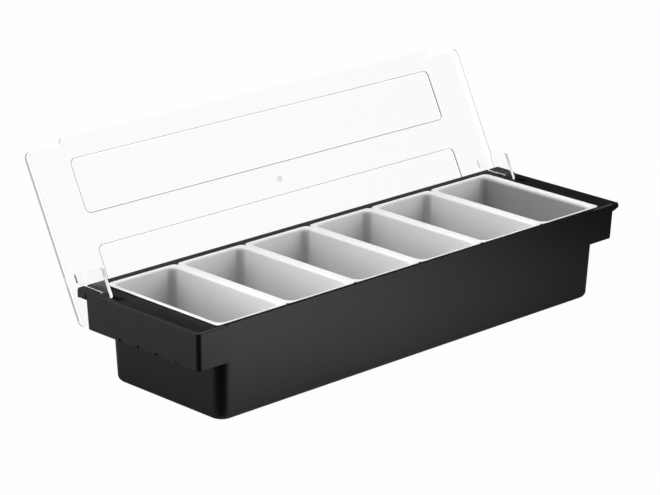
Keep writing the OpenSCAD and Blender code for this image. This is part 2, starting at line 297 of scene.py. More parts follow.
# Every clear finish has a painted glow; the edge finish has the strongest.
CLEAR = clear_plastic("clear_sheet", (0.998, 0.998, 0.998), 0.02, 0.014)
CLEAR_STEP = clear_plastic("clear_step", (0.90, 0.905, 0.91), 0.25, 0.20)
CLEAR_EDGE = clear_plastic("clear_edge", (0.80, 0.81, 0.82), 0.4, 0.36)
CLEAR_GATE = clear_plastic("clear_gate", (0.62, 0.62, 0.63), 0.2, 0.03)
print("finishes:", [m.name for m in (BLACK, WHITE, WHITE_INSIDE_SHADED, CLEAR, CLEAR_STEP, CLEAR_EDGE, CLEAR_GATE)])

# %% [markdown]
# ## Lofts
# No moulded edge is sharp, and no moulded wall is quite upright. So every solid here is a loft: outlines are
# laid one above the other, and the outlines near an edge draw in along a quarter of a circle, which makes
# the round. Flat faces stay single flat faces, so they shade as flats.

# %% Outlines
CORNER_STEPS = 8
ROUND_STEPS = 5


def arc(cx, cy, radius, start, end, steps=CORNER_STEPS):
    """Points of an arc in the plane, from start to end in degrees."""
    turns = [math.radians(start + (end - start) * k / steps) for k in range(steps + 1)]
    return [Vector((cx + radius * math.cos(t), cy + radius * math.sin(t))) for t in turns]


def circle(cx, cy, radius, count):
    """So many points round a whole circle."""
    return arc(cx, cy, radius, 0, 360 - 360 / count, count - 1)


def rounded_rect(x0, x1, y0, y1, front_corner, back_corner=None):
    """A rectangle with round corners, anticlockwise; the back pair may differ from the front pair."""
    f = front_corner
    b = front_corner if back_corner is None else back_corner
    return (arc(x1 - b, y1 - b, b, 0, 90) + arc(x0 + b, y1 - b, b, 90, 180)
            + arc(x0 + f, y0 + f, f, 180, 270) + arc(x1 - f, y0 + f, f, 270, 360))


def drawn_in(outline, inset):
    """The outline, moved inwards by an even distance."""
    moved = []
    for before, point, after in zip(outline[-1:] + outline[:-1], outline, outline[1:] + outline[:1]):
        normals = []
        for p, q in ((before, point), (point, after)):
            side = q - p
            if side.length > 1e-7:
                normals.append(Vector((-side.y, side.x)).normalized())
        total = sum(normals, Vector((0, 0)))
        share = max(0.3, total.dot(total) / (2 * len(normals) ** 2) * 2)
        moved.append(point + total / len(normals) * inset / share)
    return moved


def quarter(radius):
    """Pairs of inset and height of a round edge, from its foot to its top."""
    turns = [math.pi / 2 * k / ROUND_STEPS for k in range(ROUND_STEPS + 1)]
    return [(radius * (1 - math.cos(t)), radius * math.sin(t)) for t in turns]


# %% Solids
def loft(name, rings, place=None):
    """A closed shell through rings of points, with a flat face at each end."""
    work = bmesh.new()
    rows = [[work.verts.new(p) for p in points] for points in rings]
    count = len(rows[0])
    for low, high in zip(rows, rows[1:]):
        for i in range(count):
            j = (i + 1) % count
            work.faces.new((low[i], low[j], high[j], high[i]))
    work.faces.new(list(reversed(rows[0])))
    work.faces.new(rows[-1])
    if place:
        work.transform(place)
    bmesh.ops.remove_doubles(work, verts=work.verts, dist=0.0005 * MM)
    bmesh.ops.recalc_face_normals(work, faces=work.faces)
    mesh = bpy.data.meshes.new(name)
    work.to_mesh(mesh)
    work.free()
    return mesh


def level(outline, z):
    return [Vector((p.x, p.y, z)) for p in outline]


def prism(name, outline, low, high, low_round=0.0, high_round=0.0, place=None):
    """An outline drawn up from low to high, with a round at either end."""
    rings = []
    if low_round:
        rings += [level(drawn_in(outline, inset), low + low_round - rise)
                  for inset, rise in reversed(quarter(low_round))]
    else:
        rings.append(level(outline, low))
    if high_round:
        rings += [level(drawn_in(outline, inset), high - high_round + rise)
                  for inset, rise in quarter(high_round)]
    else:
        rings.append(level(outline, high))
    return loft(name, rings, place)


def link(name, mesh):
    piece = bpy.data.objects.new(name, mesh)
    bpy.context.scene.collection.objects.link(piece)
    return piece


def plain_mesh(piece):
    """Applies a piece's modifiers and leaves a plain mesh."""
    graph = bpy.context.evaluated_depsgraph_get()
    graph.update()
    finished = bpy.data.meshes.new_from_object(piece.evaluated_get(graph), depsgraph=graph)
    piece.modifiers.clear()
    piece.data = finished
    return piece


def combine(piece, operation, meshes):
    """Joins the meshes to the piece, or cuts them out of it."""
    tools = [link("tool", mesh) for mesh in meshes]
    for tool in tools:
        change = piece.modifiers.new("change", "BOOLEAN")
        change.operation = operation
        change.solver = "EXACT"
        change.object = tool
    plain_mesh(piece)
    for tool in tools:
        bpy.data.objects.remove(tool)
    return piece


def shade(piece, sharp_above=36):
    """Smooth rounds, flat flats, and a crisp line where two faces meet at more than the angle."""
    mesh = piece.data
    work = bmesh.new()
    work.from_mesh(mesh)
    bmesh.ops.remove_doubles(work, verts=work.verts, dist=0.002 * MM)
    bmesh.ops.dissolve_degenerate(work, edges=work.edges, dist=0.002 * MM)
    for face in work.faces:
        face.smooth = True
    for edge in work.edges:
        edge.smooth = len(edge.link_faces) == 2 and edge.calc_face_angle(0) < math.radians(sharp_above)
    work.to_mesh(mesh)
    work.free()
    weighted = piece.modifiers.new("flat_faces", "WEIGHTED_NORMAL")
    weighted.keep_sharp = True
    weighted.weight = 100
    return plain_mesh(piece)


# %% [markdown]
# ## The housing
# One black moulding: a lower body that narrows towards its foot, an upper band that hangs over at both ends
# as hand grips, and a flange with a round lip along the back and the right end. The sizes are those of the
# frame.

# %% Housing sizes
DRAFT = math.tan(math.radians(2.3))
BODY_HALF, TOP, WALL, FLOOR = 240 * MM, 80 * MM, 2 * MM, 3 * MM
FOOT_HALF, FOOT_DEPTH, FOOT_ROUND, FOOT_CORNER = 215 * MM, 63.7 * MM, 5 * MM, 10 * MM
TOP_DEPTH = FOOT_DEPTH + TOP * DRAFT
SKIRT_FOOT, SKIRT_CORNER = 48.5 * MM, 3.5 * MM
BACK, RIGHT = TOP_DEPTH + 8.6 * MM, 245.6 * MM
FLANGE, LIP_ROUND, CORNER = 2.6 * MM, 3 * MM, 5 * MM
BEAD_ROUND, LEFT_GAP = 3.5 * MM, 0.4 * MM
HINGE_Y, HINGE_Z, BORE_RADIUS = BACK - 13 * MM, 71.9 * MM, 2.25 * MM
EAR_X, SLOT_HALF = 232 * MM, 3.2 * MM
EDGE = 1.8 * MM
SEAT_RISE, SEAT_WIDTH = 0.7 * MM, 0.5 * MM
SMALL_EDGE = 0.5 * MM
ALONG_X = Matrix(((0, 0, 1, 0), (1, 0, 0, 0), (0, 1, 0, 0), (0, 0, 0, 1)))
ALONG_Y = Matrix(((1, 0, 0, 0), (0, 0, 1, 0), (0, 1, 0, 0), (0, 0, 0, 1)))


def tapered(half, depth, corner, foot, top, foot_round=0.0, top_round=0.0):
    """Rings of a block that widens upwards; half and depth are measured at the table's level."""
    lower, upper = [(0, foot)], [(0, top)]
    if foot_round:
        lower = [(inset, foot + foot_round - rise) for inset, rise in reversed(quarter(foot_round))]
    if top_round:
        upper = [(inset, top - top_round + rise) for inset, rise in quarter(top_round)]
    rings = []
    for inset, z in lower + upper:
        x, y = half + z * DRAFT - inset, depth + z * DRAFT - inset
        rings.append(level(rounded_rect(-x, x, -y, y, max(corner - inset * 0.5, 0.5 * MM)), z))
    return rings


# %% Housing parts
def lower_body():
    return loft("lower_body", tapered(FOOT_HALF, FOOT_DEPTH, FOOT_CORNER, 0, TOP, FOOT_ROUND))


def upper_band(margin, foot, top, foot_round=0.0, top_round=0.0):
    half = BODY_HALF - TOP * DRAFT - margin
    return loft("upper_band", tapered(half, FOOT_DEPTH - margin, SKIRT_CORNER - margin / 2, foot, top,
                                      foot_round, top_round))


def flange_plate():
    """The flange between its edges, which are the band's and the two lips' own."""
    within = 2 * MM
    outline = rounded_rect(-BODY_HALF + within, RIGHT - LIP_ROUND,
                           -TOP_DEPTH + within, BACK - BEAD_ROUND, within)
    return prism("flange_plate", outline, TOP - FLANGE, TOP)


def back_lip():
    """The lip and bead along the back, swept round the right back corner."""
    drop, foot, rise, bead, inner, crest = -7.5 * MM, 1.3 * MM, 1.6 * MM, BEAD_ROUND, -4.8 * MM, -4.2 * MM
    section = ([Vector((inner, rise * 0.74)), Vector((crest, rise * 0.95))]
               + arc(-bead, rise - bead, bead, 90, 0) + arc(-foot, drop + foot, foot, 0, -180)
               + [Vector((-2 * foot, -FLANGE)), Vector((inner, -FLANGE))])
    steps = 12
    stations = [(-BODY_HALF + LEFT_GAP, BACK - CORNER, 90)]
    stations += [(RIGHT - CORNER, BACK - CORNER, 90 - 90 * k / steps) for k in range(steps + 1)]
    rings = []
    for x, y, turn in stations:
        out = Vector((math.cos(math.radians(turn)), math.sin(math.radians(turn))))
        rings.append([Vector((x + out.x * (CORNER + p.x), y + out.y * (CORNER + p.x), TOP + p.y))
                      for p in section])
    return loft("back_lip", rings)


def bead_slope():
    """The ground that rises from the flange to the bead, behind the pans."""
    start, bend, end, sunk = -8.4 * MM, -5.5 * MM, -4 * MM, -1 * MM
    section = [Vector((start, 0)), Vector((start, sunk)), Vector((end, sunk)), Vector((end, 1.5 * MM)),
               Vector((bend, 1 * MM))]
    section.reverse()
    return prism("bead_slope", section, -BODY_HALF + LEFT_GAP, RIGHT - CORNER, 0, 0,
                 Matrix.Translation((0, BACK, TOP)) @ ALONG_X)


def right_lip():
    """The round lip of the right end, with the web from which it hangs."""
    inner, foot, under, web, front = -6.6 * MM, 1.5 * MM, -3.9 * MM, -7.3 * MM, -66.6 * MM
    section = ([Vector((inner, 0))] + arc(-LIP_ROUND, -LIP_ROUND, LIP_ROUND, 90, 0)
               + arc(-foot, under, foot, 0, -90) + [Vector((inner, web))])
    section.reverse()
    place = Matrix.Translation((RIGHT, 0, TOP)) @ ALONG_Y
    return prism("right_lip", section, front, BACK - CORNER, 0.6 * MM, 0, place)


def cheek(side):
    """The cheek beyond a slot, with its low hump."""
    hump, rise, foot, seat, back, under = 4 * MM, 1.8 * MM, 3.5 * MM, -9.6 * MM, -23 * MM, -7.5 * MM
    crest, bend = back + 7 * MM, back + 5.5 * MM
    section = (arc(-hump, rise - hump, hump, 0, 90)
               + [Vector((crest, rise)), Vector((bend, rise * 0.85)), Vector((back, -0.05 * MM)),
                  Vector((back, -FLANGE)), Vector((seat, -FLANGE)), Vector((seat, under))]
               + arc(-foot, under + foot, foot, 270, 360))
    inner = EAR_X + SLOT_HALF
    outer = RIGHT - 1 * MM if side > 0 else BODY_HALF - LEFT_GAP
    ends = (inner, outer) if side > 0 else (-outer, -inner)
    inner_round, outer_round = 0.4 * MM, 1.0 * MM
    rounds = (inner_round, outer_round) if side > 0 else (outer_round, inner_round)
    return prism("cheek", section, *ends, *rounds, Matrix.Translation((0, BACK, TOP)) @ ALONG_X)


def seat():
    """The narrow ridge round the well, on which the pans' rims rest."""
    x, y = FOOT_HALF + TOP * DRAFT - WALL + SEAT_WIDTH, TOP_DEPTH - WALL + SEAT_WIDTH
    outline = rounded_rect(-x, x, -y, y, FOOT_CORNER - WALL + SEAT_WIDTH)
    return prism("seat", outline, TOP - 1 * MM, TOP + SEAT_RISE)


def lug(side):
    """The block under the flange that carries a pin."""
    outer, thick, radius = 229 * MM, 6.5 * MM, 4 * MM
    height = TOP - FLANGE / 2 - HINGE_Z
    section = arc(0, 0, radius, 180, 360, 16) + [Vector((radius, height)), Vector((-radius, height))]
    ends = (outer - thick, outer) if side > 0 else (-outer, -outer + thick)
    return prism("lug", section, *ends, 0, 0, Matrix.Translation((0, HINGE_Y, HINGE_Z)) @ ALONG_X)


def lug_bore(side):
    inner, outer = 222 * MM, 231 * MM
    ends = (inner, outer) if side > 0 else (-outer, -inner)
    return prism("lug_bore", circle(0, 0, BORE_RADIUS, 16), *ends, 0, 0,
                 Matrix.Translation((0, HINGE_Y, HINGE_Z)) @ ALONG_X)


def ear_slot(side):
    """The slot through the flange, with softened corners."""
    back, length = HINGE_Y - 1.5 * MM, 31 * MM
    outline = rounded_rect(side * EAR_X - SLOT_HALF, side * EAR_X + SLOT_HALF, back - length, back, 0.6 * MM)
    return prism("ear_slot", outline, TOP - 8.6 * MM, TOP + 4 * MM)


def ear_window(side):
    outline = rounded_rect(side * EAR_X - SLOT_HALF, side * EAR_X + SLOT_HALF,
                           HINGE_Y - 3.2 * MM, HINGE_Y + 8 * MM, 0.2 * MM)
    return prism("ear_window", outline, SKIRT_FOOT - 1 * MM, TOP - FLANGE)


def bead_gap(side):
    outline = rounded_rect(side * EAR_X - SLOT_HALF, side * EAR_X + SLOT_HALF,
                           HINGE_Y - 2.5 * MM, HINGE_Y + 16 * MM, 0.2 * MM)
    return prism("bead_gap", outline, TOP, TOP + 3 * MM)


def drain_notches(side):
    """Four notches that let water out of a skirt."""
    pitch, forwards, half, height, corner, deep = 21.5 * MM, 8 * MM, 3 * MM, 2.6 * MM, 1.2 * MM, 6 * MM
    made = []
    for k in (-1.5, -0.5, 0.5, 1.5):
        y = k * pitch - forwards
        outline = rounded_rect(y - half, y + half, SKIRT_FOOT - height, SKIRT_FOOT + height, corner)
        made.append(prism("notch", outline, side * BODY_HALF - deep, side * BODY_HALF + deep, 0, 0, ALONG_X))
    return made


def well():
    """The room for ice and pans, rounded along its floor."""
    return loft("well", tapered(FOOT_HALF - WALL, FOOT_DEPTH - WALL, FOOT_CORNER - WALL,
                                FLOOR, TOP + 1 * MM, 2 * MM))


# %% Housing
def make_housing():
    lower = link("lower_body", lower_body())
    room = link("room", upper_band(WALL, SKIRT_FOOT - 2 * MM, TOP - FLANGE))
    combine(room, "DIFFERENCE", [lower.data])
    housing = link("housing_moulding", upper_band(0, SKIRT_FOOT, TOP, SMALL_EDGE, EDGE))
    combine(housing, "UNION", [flange_plate(), bead_slope(), back_lip(), right_lip(), cheek(-1), cheek(1)])
    combine(housing, "DIFFERENCE", [room.data])
    combine(housing, "UNION", [lower.data, seat(), lug(-1), lug(1)])
    cuts = [well()]
    for side in (-1, 1):
        cuts += [ear_slot(side), ear_window(side), bead_gap(side), lug_bore(side)] + drain_notches(side)
    combine(housing, "DIFFERENCE", cuts)
    for tool in (lower, room):
        bpy.data.objects.remove(tool)
    shade(housing)
    housing.data.materials.clear()
    housing.data.materials.append(BLACK)
    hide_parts("housing")
    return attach(housing, "housing")


housing = make_housing()
print("housing triangles:", sum(len(p.vertices) - 2 for p in housing.data.polygons))

# %% [markdown]
# ## The lid
# The lid is built lying level, with its back edge at zero, and then tipped back about its pins. A face that
# looks along the sheet, such as the rim of the panel or of an ear, has the edge's finish. The steps of the
# two raised fields and the small round mark between them have their own, and the rest is clear. The test is
# the face's place and direction.

# %% Lid sizes
LID_TURN = math.radians(-117.2)
LID_HALF, LID_DEPTH, LID_MID, SHEET, LID_CORNER = 245.7 * MM, 145 * MM, 2.8 * MM, 2 * MM, 6 * MM
PIN_BACK, PIN_DOWN, PIN_RADIUS = 17.5 * MM, 17.1 * MM, 2.2 * MM
LIP, LIP_HALF, LIP_CORNER = 5 * MM, 208.7 * MM, 4.5 * MM
SKIRT_DEPTH = 4.6 * MM
FIELD_RISE, FIELD_DEPTH, FIELD_EDGE = 1.2 * MM, 46 * MM, 13.3 * MM
FIELD_HALF, FIELD_CORNER = 204.5 * MM, 5 * MM
STEP_OUTSIDE, STEP_INSIDE, SUNK = (-0.2 * MM, 1 * MM), (0.3 * MM, 1.6 * MM), 0.5 * MM
GATE_RADIUS, GATE_RISE = 2.4 * MM, 0.4 * MM
EAR_HALF, EAR_ROUND = 1.5 * MM, 0.3 * MM
LID_EDGE = 0.45 * MM


def lid_outline():
    """The panel and its finger lip, seen from above."""
    c, l = LID_CORNER, LIP_CORNER
    x0, x1 = LID_MID - LID_HALF, LID_MID + LID_HALF
    f0, f1 = LID_MID - LIP_HALF, LID_MID + LIP_HALF
    front = -LID_DEPTH
    return (arc(x1 - c, -c, c, 0, 90) + arc(x0 + c, -c, c, 90, 180) + arc(x0 + c, front + c, c, 180, 270)
            + [Vector((f0, front))] + arc(f0 + l, front - LIP + l, l, 180, 270)
            + arc(f1 - l, front - LIP + l, l, 270, 360) + [Vector((f1, front))]
            + arc(x1 - c, front + c, c, 270, 360))


def field(k, margin):
    middle = -FIELD_EDGE - FIELD_DEPTH / 2 if k > 0 else -LID_DEPTH + FIELD_EDGE + FIELD_DEPTH / 2
    x, y = FIELD_HALF - margin, FIELD_DEPTH / 2 - margin
    return rounded_rect(LID_MID - x, LID_MID + x, middle - y, middle + y, FIELD_CORNER - margin)


def field_rings(k, foot_margin, top_margin, low, high):
    """Rings of a field whose sloping step is rounded at its top."""
    rings = []
    for share, part in ((0, 0), (0.15, 0.35), (0.65, 0.85), (0.82, 0.96), (1, 1)):
        margin = foot_margin + (top_margin - foot_margin) * share
        rings.append(level(field(k, margin), low + (high - low) * part))
    return rings


def end_skirts():
    """The small skirts under the ends of the panel, round its front corners."""
    x0, x1 = LID_MID - LID_HALF, LID_MID + LID_HALF
    outside = rounded_rect(x0, x1, -LID_DEPTH, 0, LID_CORNER)
    skirt = link("skirt", prism("skirt", outside, -SKIRT_DEPTH, -SHEET / 2, LID_EDGE, 0))
    inside = rounded_rect(x0 + SHEET, x1 - SHEET, -LID_DEPTH + SHEET, -SHEET, LID_CORNER - SHEET)
    across, past, corner, below = 4 * MM, 20 * MM, 0.5 * MM, -6 * MM
    front = rounded_rect(LID_MID - LIP_HALF, LID_MID + LIP_HALF,
                         -LID_DEPTH - across, -LID_DEPTH + across, corner)
    back = rounded_rect(x0 - past, x1 + past, -LID_CORNER, past, corner)
    combine(skirt, "DIFFERENCE", [prism("cut", outline, below, 0) for outline in (inside, front, back)])
    mesh = skirt.data
    bpy.data.objects.remove(skirt)
    return mesh


def ear_outline():
    """An ear seen from the side, with the lid's top and its back edge at zero."""
    c, s = math.cos(math.pi + LID_TURN), math.sin(math.pi + LID_TURN)
    reach, neck, corner = 8.5 * MM, 3.2 * MM, 2.5 * MM
    v_neck, w_neck = PIN_BACK + neck, PIN_DOWN + (reach - neck * s) / c
    v_top = PIN_BACK + (reach + (PIN_DOWN - SHEET / 2) * c) / s
    root, front, back, foot = -42 * MM, -39.5 * MM, -PIN_BACK + neck, -38 * MM
    return ([Vector((-v_top, -SHEET / 2)), Vector((root, -SHEET / 2))]
            + arc(front + corner, foot + corner, corner, 180, 270)
            + arc(back - corner, foot + corner, corner, 270, 360)
            + arc(-PIN_BACK, -PIN_DOWN, neck, 0, 180, 14) + [Vector((-v_neck, -w_neck))])


def ear(side):
    middle = side * EAR_X
    return prism("ear", ear_outline(), middle - EAR_HALF, middle + EAR_HALF, EAR_ROUND, EAR_ROUND, ALONG_X)


def pin(side):
    inner, outer, tip = 224 * MM, 231.5 * MM, 0.5 * MM
    ends = (inner, outer) if side > 0 else (-outer, -inner)
    rounds = (tip, 0) if side > 0 else (0, tip)
    return prism("pin", circle(0, 0, PIN_RADIUS, 32), *ends, *rounds,
                 Matrix.Translation((0, -PIN_BACK, -PIN_DOWN)) @ ALONG_X)


# %% Lid
SHEET_FACE, STEP_FACE, EDGE_FACE, GATE_FACE = range(4)
FACE_ON = 0.93
FLAT_BORDER = 10 * MM


def face_finish(face):
    """Which finish a face of the level lid has, by its place and its direction."""
    middle, facing = face.center, face.normal
    from_gate = (middle - Vector((LID_MID, -LID_DEPTH / 2, 0))).length
    if middle.z > 0.05 * MM and from_gate < GATE_RADIUS + 0.2 * MM:
        return GATE_FACE
    on_ear = middle.z < -SHEET - 0.1 * MM and abs(abs(middle.x) - EAR_X) < EAR_HALF + 0.5 * MM
    if (abs(facing.x) if on_ear else abs(facing.z)) > FACE_ON:
        return SHEET_FACE
    between_borders = -LID_DEPTH + FLAT_BORDER < middle.y < -FLAT_BORDER and middle.z > -SHEET - 1 * MM
    on_step = between_borders and abs(middle.x - LID_MID) < FIELD_HALF + 1 * MM
    return STEP_FACE if on_step else EDGE_FACE


def make_lid():
    lid = link("lid_moulding", prism("panel", lid_outline(), -SHEET, 0, LID_EDGE, LID_EDGE))
    fields = [loft("field", field_rings(k, *STEP_OUTSIDE, -SUNK, FIELD_RISE)) for k in (-1, 1)]
    round_mark = circle(LID_MID, -LID_DEPTH / 2, GATE_RADIUS, 32)
    gate = prism("gate", round_mark, -SUNK, GATE_RISE, 0, GATE_RISE / 2)
    combine(lid, "UNION", fields + [gate, end_skirts(), ear(-1), ear(1), pin(-1), pin(1)])
    hollows = [loft("hollow", field_rings(k, *STEP_INSIDE, -SHEET - SUNK, FIELD_RISE - SHEET))
               for k in (-1, 1)]
    combine(lid, "DIFFERENCE", hollows)
    shade(lid)
    lid.data.materials.clear()
    for finish in (CLEAR, CLEAR_STEP, CLEAR_EDGE, CLEAR_GATE):
        lid.data.materials.append(finish)
    for face in lid.data.polygons:
        face.material_index = face_finish(face)
    lid.data.transform(Matrix.Translation((0, HINGE_Y, HINGE_Z)) @ Matrix.Rotation(LID_TURN, 4, "X")
                       @ Matrix.Translation((0, PIN_BACK, PIN_DOWN)))
    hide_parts("lid")
    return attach(lid, "lid")


lid = make_lid()
at_edge = sum(face.material_index == EDGE_FACE for face in lid.data.polygons)
print("lid edge faces:", at_edge, "of", len(lid.data.polygons))

# %% [markdown]
# ## One pan
# A pan is a tray whose every level section is a rectangle with round corners. Rings are laid from the
# underside, up the outside, over the rim and down the inside, and joined. Its outer sizes are read from the
# frame; the wall, the rim and the rounds are given here.

# %% Pan rings
PAN_WALL, RIM_THICK = 1.5 * MM, 0.8 * MM
RIM_SIDE, RIM_FRONT = 5.2 * MM, 2.8 * MM
RIM_CORNERS, MOUTH_CORNER = (2.5 * MM, 5 * MM), 8 * MM
RIM_ROUND, MOUTH_ROUND, PAN_FLOOR_ROUND = 0.38 * MM, 2 * MM, 8 * MM
MOUTH_WIDEN_X, MOUTH_WIDEN_Y = 1.4, 1.0


def pan_ring(x, y, z, front_corner, back_corner=None):
    return level(rounded_rect(-x, x, -y, y, front_corner, back_corner), z)


def pan_rings():
    """The pan's rings, about its own middle."""
    low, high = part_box("pan_1")
    rim_x, rim_y = (high.x - low.x) / 2, (high.y - low.y) / 2
    mouth_x, mouth_y = rim_x - RIM_SIDE, rim_y - RIM_FRONT
    top, bottom = high.z, low.z
    seat = top - RIM_THICK
    shrink = (seat - bottom) * DRAFT
    rings = []
    for inset, rise in reversed(quarter(PAN_FLOOR_ROUND)):
        x, y = mouth_x + PAN_WALL - shrink - inset, mouth_y + PAN_WALL - shrink - inset
        rings.append(pan_ring(x, y, bottom + PAN_FLOOR_ROUND - rise, MOUTH_CORNER))
    rings.append(pan_ring(mouth_x + PAN_WALL, mouth_y + PAN_WALL, seat, MOUTH_CORNER))
    for inset, rise in reversed(quarter(RIM_ROUND)):
        rings.append(pan_ring(rim_x - inset, rim_y - inset, seat + RIM_ROUND - rise, *RIM_CORNERS))
    for inset, rise in quarter(RIM_ROUND):
        rings.append(pan_ring(rim_x - inset, rim_y - inset, top - RIM_ROUND + rise, *RIM_CORNERS))
    inner = MOUTH_CORNER - PAN_WALL
    for inset, rise in reversed(quarter(MOUTH_ROUND)):
        x, y = mouth_x + inset * MOUTH_WIDEN_X, mouth_y + inset * MOUTH_WIDEN_Y
        rings.append(pan_ring(x, y, top - MOUTH_ROUND + rise, inner + inset * MOUTH_WIDEN_Y))
    fillet = PAN_FLOOR_ROUND - PAN_WALL
    for inset, rise in quarter(fillet):
        x, y = mouth_x - shrink - inset, mouth_y - shrink - inset
        rings.append(pan_ring(x, y, bottom + PAN_WALL + fillet - rise, inner))
    return rings


# %% [markdown]
# ## The row of pans
# The six pans are the same moulding at one pitch, which is what Geometry Nodes are for. A line of points is
# laid along the housing, the pan is set on the one point that is asked for, and the tree ends in Realize
# Instances and Set Material. It runs once for each pan, because each is lifted out by itself. After that,
# the faces that look inwards are given the finish of the inside, with its painted shade.

# %% Row tree
def pan_row_tree():
    tree = bpy.data.node_groups.new("pan_row", "GeometryNodeTree")
    sockets = {}
    for name, kind in (("Pan", "Object"), ("Pitch", "Float"), ("Count", "Int"), ("Place", "Int"),
                       ("Finish", "Material")):
        made = tree.interface.new_socket(name, in_out="INPUT", socket_type="NodeSocket" + kind)
        sockets[name] = made.identifier
    tree.interface.new_socket("Row", in_out="OUTPUT", socket_type="NodeSocketGeometry")
    nodes, links = tree.nodes, tree.links
    given, result = nodes.new("NodeGroupInput"), nodes.new("NodeGroupOutput")
    last = maths(nodes, links, "SUBTRACT", given.outputs["Count"], 1)
    start = product(nodes, links, last, -0.5, given.outputs["Pitch"])
    first, step = nodes.new("ShaderNodeCombineXYZ"), nodes.new("ShaderNodeCombineXYZ")
    line = nodes.new("GeometryNodeMeshLine")
    info = nodes.new("GeometryNodeObjectInfo")
    index = nodes.new("GeometryNodeInputIndex")
    same = nodes.new("FunctionNodeCompare")
    same.data_type = "INT"
    same.operation = "EQUAL"
    on_point = nodes.new("GeometryNodeInstanceOnPoints")
    real = nodes.new("GeometryNodeRealizeInstances")
    finish = nodes.new("GeometryNodeSetMaterial")
    links.new(start, first.inputs["X"])
    links.new(given.outputs["Pitch"], step.inputs["X"])
    links.new(given.outputs["Count"], line.inputs["Count"])
    links.new(first.outputs[0], line.inputs["Start Location"])
    links.new(step.outputs[0], line.inputs["Offset"])
    links.new(given.outputs["Pan"], info.inputs["Object"])
    int_inputs = [s for s in same.inputs if s.type == "INT"]
    links.new(index.outputs[0], int_inputs[0])
    links.new(given.outputs["Place"], int_inputs[1])
    links.new(line.outputs[0], on_point.inputs["Points"])
    links.new(same.outputs[0], on_point.inputs["Selection"])
    links.new(info.outputs["Geometry"], on_point.inputs["Instance"])
    links.new(on_point.outputs[0], real.inputs[0])
    links.new(real.outputs[0], finish.inputs["Geometry"])
    links.new(given.outputs["Finish"], finish.inputs["Material"])
    links.new(finish.outputs[0], result.inputs["Row"])
    return tree, sockets


# %% Pans
FLOOR_FACES_BELOW = 70 * MM


def is_inside(face, middle):
    """True for a face of a pan that looks inwards, or for its floor seen from above."""
    outward = (face.center.x - middle) * face.normal.x + face.center.y * face.normal.y
    on_floor = face.normal.z > 0.5 and face.center.z < FLOOR_FACES_BELOW
    return outward < -1e-6 or on_floor


def make_pans():
    pattern = link("pan_pattern", loft("pan_pattern", pan_rings()))
    tree, sockets = pan_row_tree()
    names = sorted(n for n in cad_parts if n.startswith("pan_"))
    middles = [(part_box(n)[0].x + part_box(n)[1].x) / 2 for n in names]
    pitch = (middles[-1] - middles[0]) / (len(names) - 1)
    pans = []
    for place, node in enumerate(names):
        pan = link(node + "_moulding", bpy.data.meshes.new(node + "_moulding"))
        row = pan.modifiers.new("row", "NODES")
        row.node_group = tree
        given = {"Pan": pattern, "Pitch": pitch, "Count": len(names), "Place": place, "Finish": WHITE}
        for name, value in given.items():
            row[sockets[name]] = value
        plain_mesh(pan)
        shade(pan)
        # Faces that look inwards get the inside finish, with its painted shade.
        pan.data.materials.append(WHITE_INSIDE_SHADED)
        for face in pan.data.polygons:
            face.material_index = int(is_inside(face, middles[place]))
        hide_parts(node)
        pans.append(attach(pan, node))
    bpy.data.objects.remove(pattern)
    return pans


pans = make_pans()
print("pans:", [p.name for p in pans], "faces each:", len(pans[0].data.polygons))

# %% [markdown]
# ## Floor, background and light
# The photograph has a white ground with hardly a shadow. To the camera, and through the clear plastic, floor
# and world are their own white. All other rays find a studio whose light comes from both sides and from
# above, and which is dark towards the camera and behind the caddy. That darkness draws the black corners and
# the dark top of the flange. In gloss, the floor is lit in front of the left half, dim close to the foot,
# and dark before the near corner. Strips high up at the sides, which only a first mirroring sees, draw the
# bright lines on the top edges.

# %% Studio nodes
TOWARDS_CAMERA = Vector((-math.sin(AZIMUTH), -math.cos(AZIMUTH), 0))
TO_THE_LEFT = Vector((-math.cos(AZIMUTH), math.sin(AZIMUTH), 0))
NEAR_CORNER = Vector((-FOOT_HALF, -FOOT_DEPTH, 0))
DARK_FROM, DARK_TO, DARKEST = 0.1, 0.7, 0.02
OVERHEAD_FROM, OVERHEAD_TO, OVERHEAD, LEFT_SHARE = 0.55, 0.97, 0.45, 0.3
WORLD_LIGHT, WORLD_GLOSS = 4.2, 0.5
STRIP_HEIGHT, STRIP_LENGTH, STRIP_LIGHT, STRIP_LEFT_SHARE = (0.45, 0.6), (0.5, 0.75), 1.1, -0.6
FLOOR_HALF, FLOOR_BELOW, FLOOR_OWN_WHITE = 12, 0.1 * MM, 0.975
FLOOR_GLOW, GLOW_FROM, GLOW_TO = 1.32, -70 * MM, 425 * MM
LEFT_GLOW, LEFT_FROM, LEFT_TO = 0.34, -75 * MM, -50 * MM
CONTACT_SHADOW, SHADOW_REACH = 0.33, 140 * MM


def seen_directly(nodes, links):
    """1 for rays from the eye, also through clear plastic, but not for rays that a surface has sent back."""
    path = nodes.new("ShaderNodeLightPath")
    sent_back = maths(nodes, links, "ADD", path.outputs["Diffuse Depth"], path.outputs["Glossy Depth"])
    untouched = maths(nodes, links, "LESS_THAN", sent_back, 0.5)
    through = maths(nodes, links, "MULTIPLY", path.outputs["Is Transmission Ray"], untouched)
    return maths(nodes, links, "MAXIMUM", path.outputs["Is Camera Ray"], through)


def seen_in_gloss(nodes, links):
    """1 for rays that a gloss has mirrored, also when they pass clear plastic afterwards."""
    path = nodes.new("ShaderNodeLightPath")
    glossy = maths(nodes, links, "GREATER_THAN", path.outputs["Glossy Depth"], 0.5)
    not_matt = maths(nodes, links, "LESS_THAN", path.outputs["Diffuse Depth"], 0.5)
    return maths(nodes, links, "MULTIPLY", glossy, not_matt)


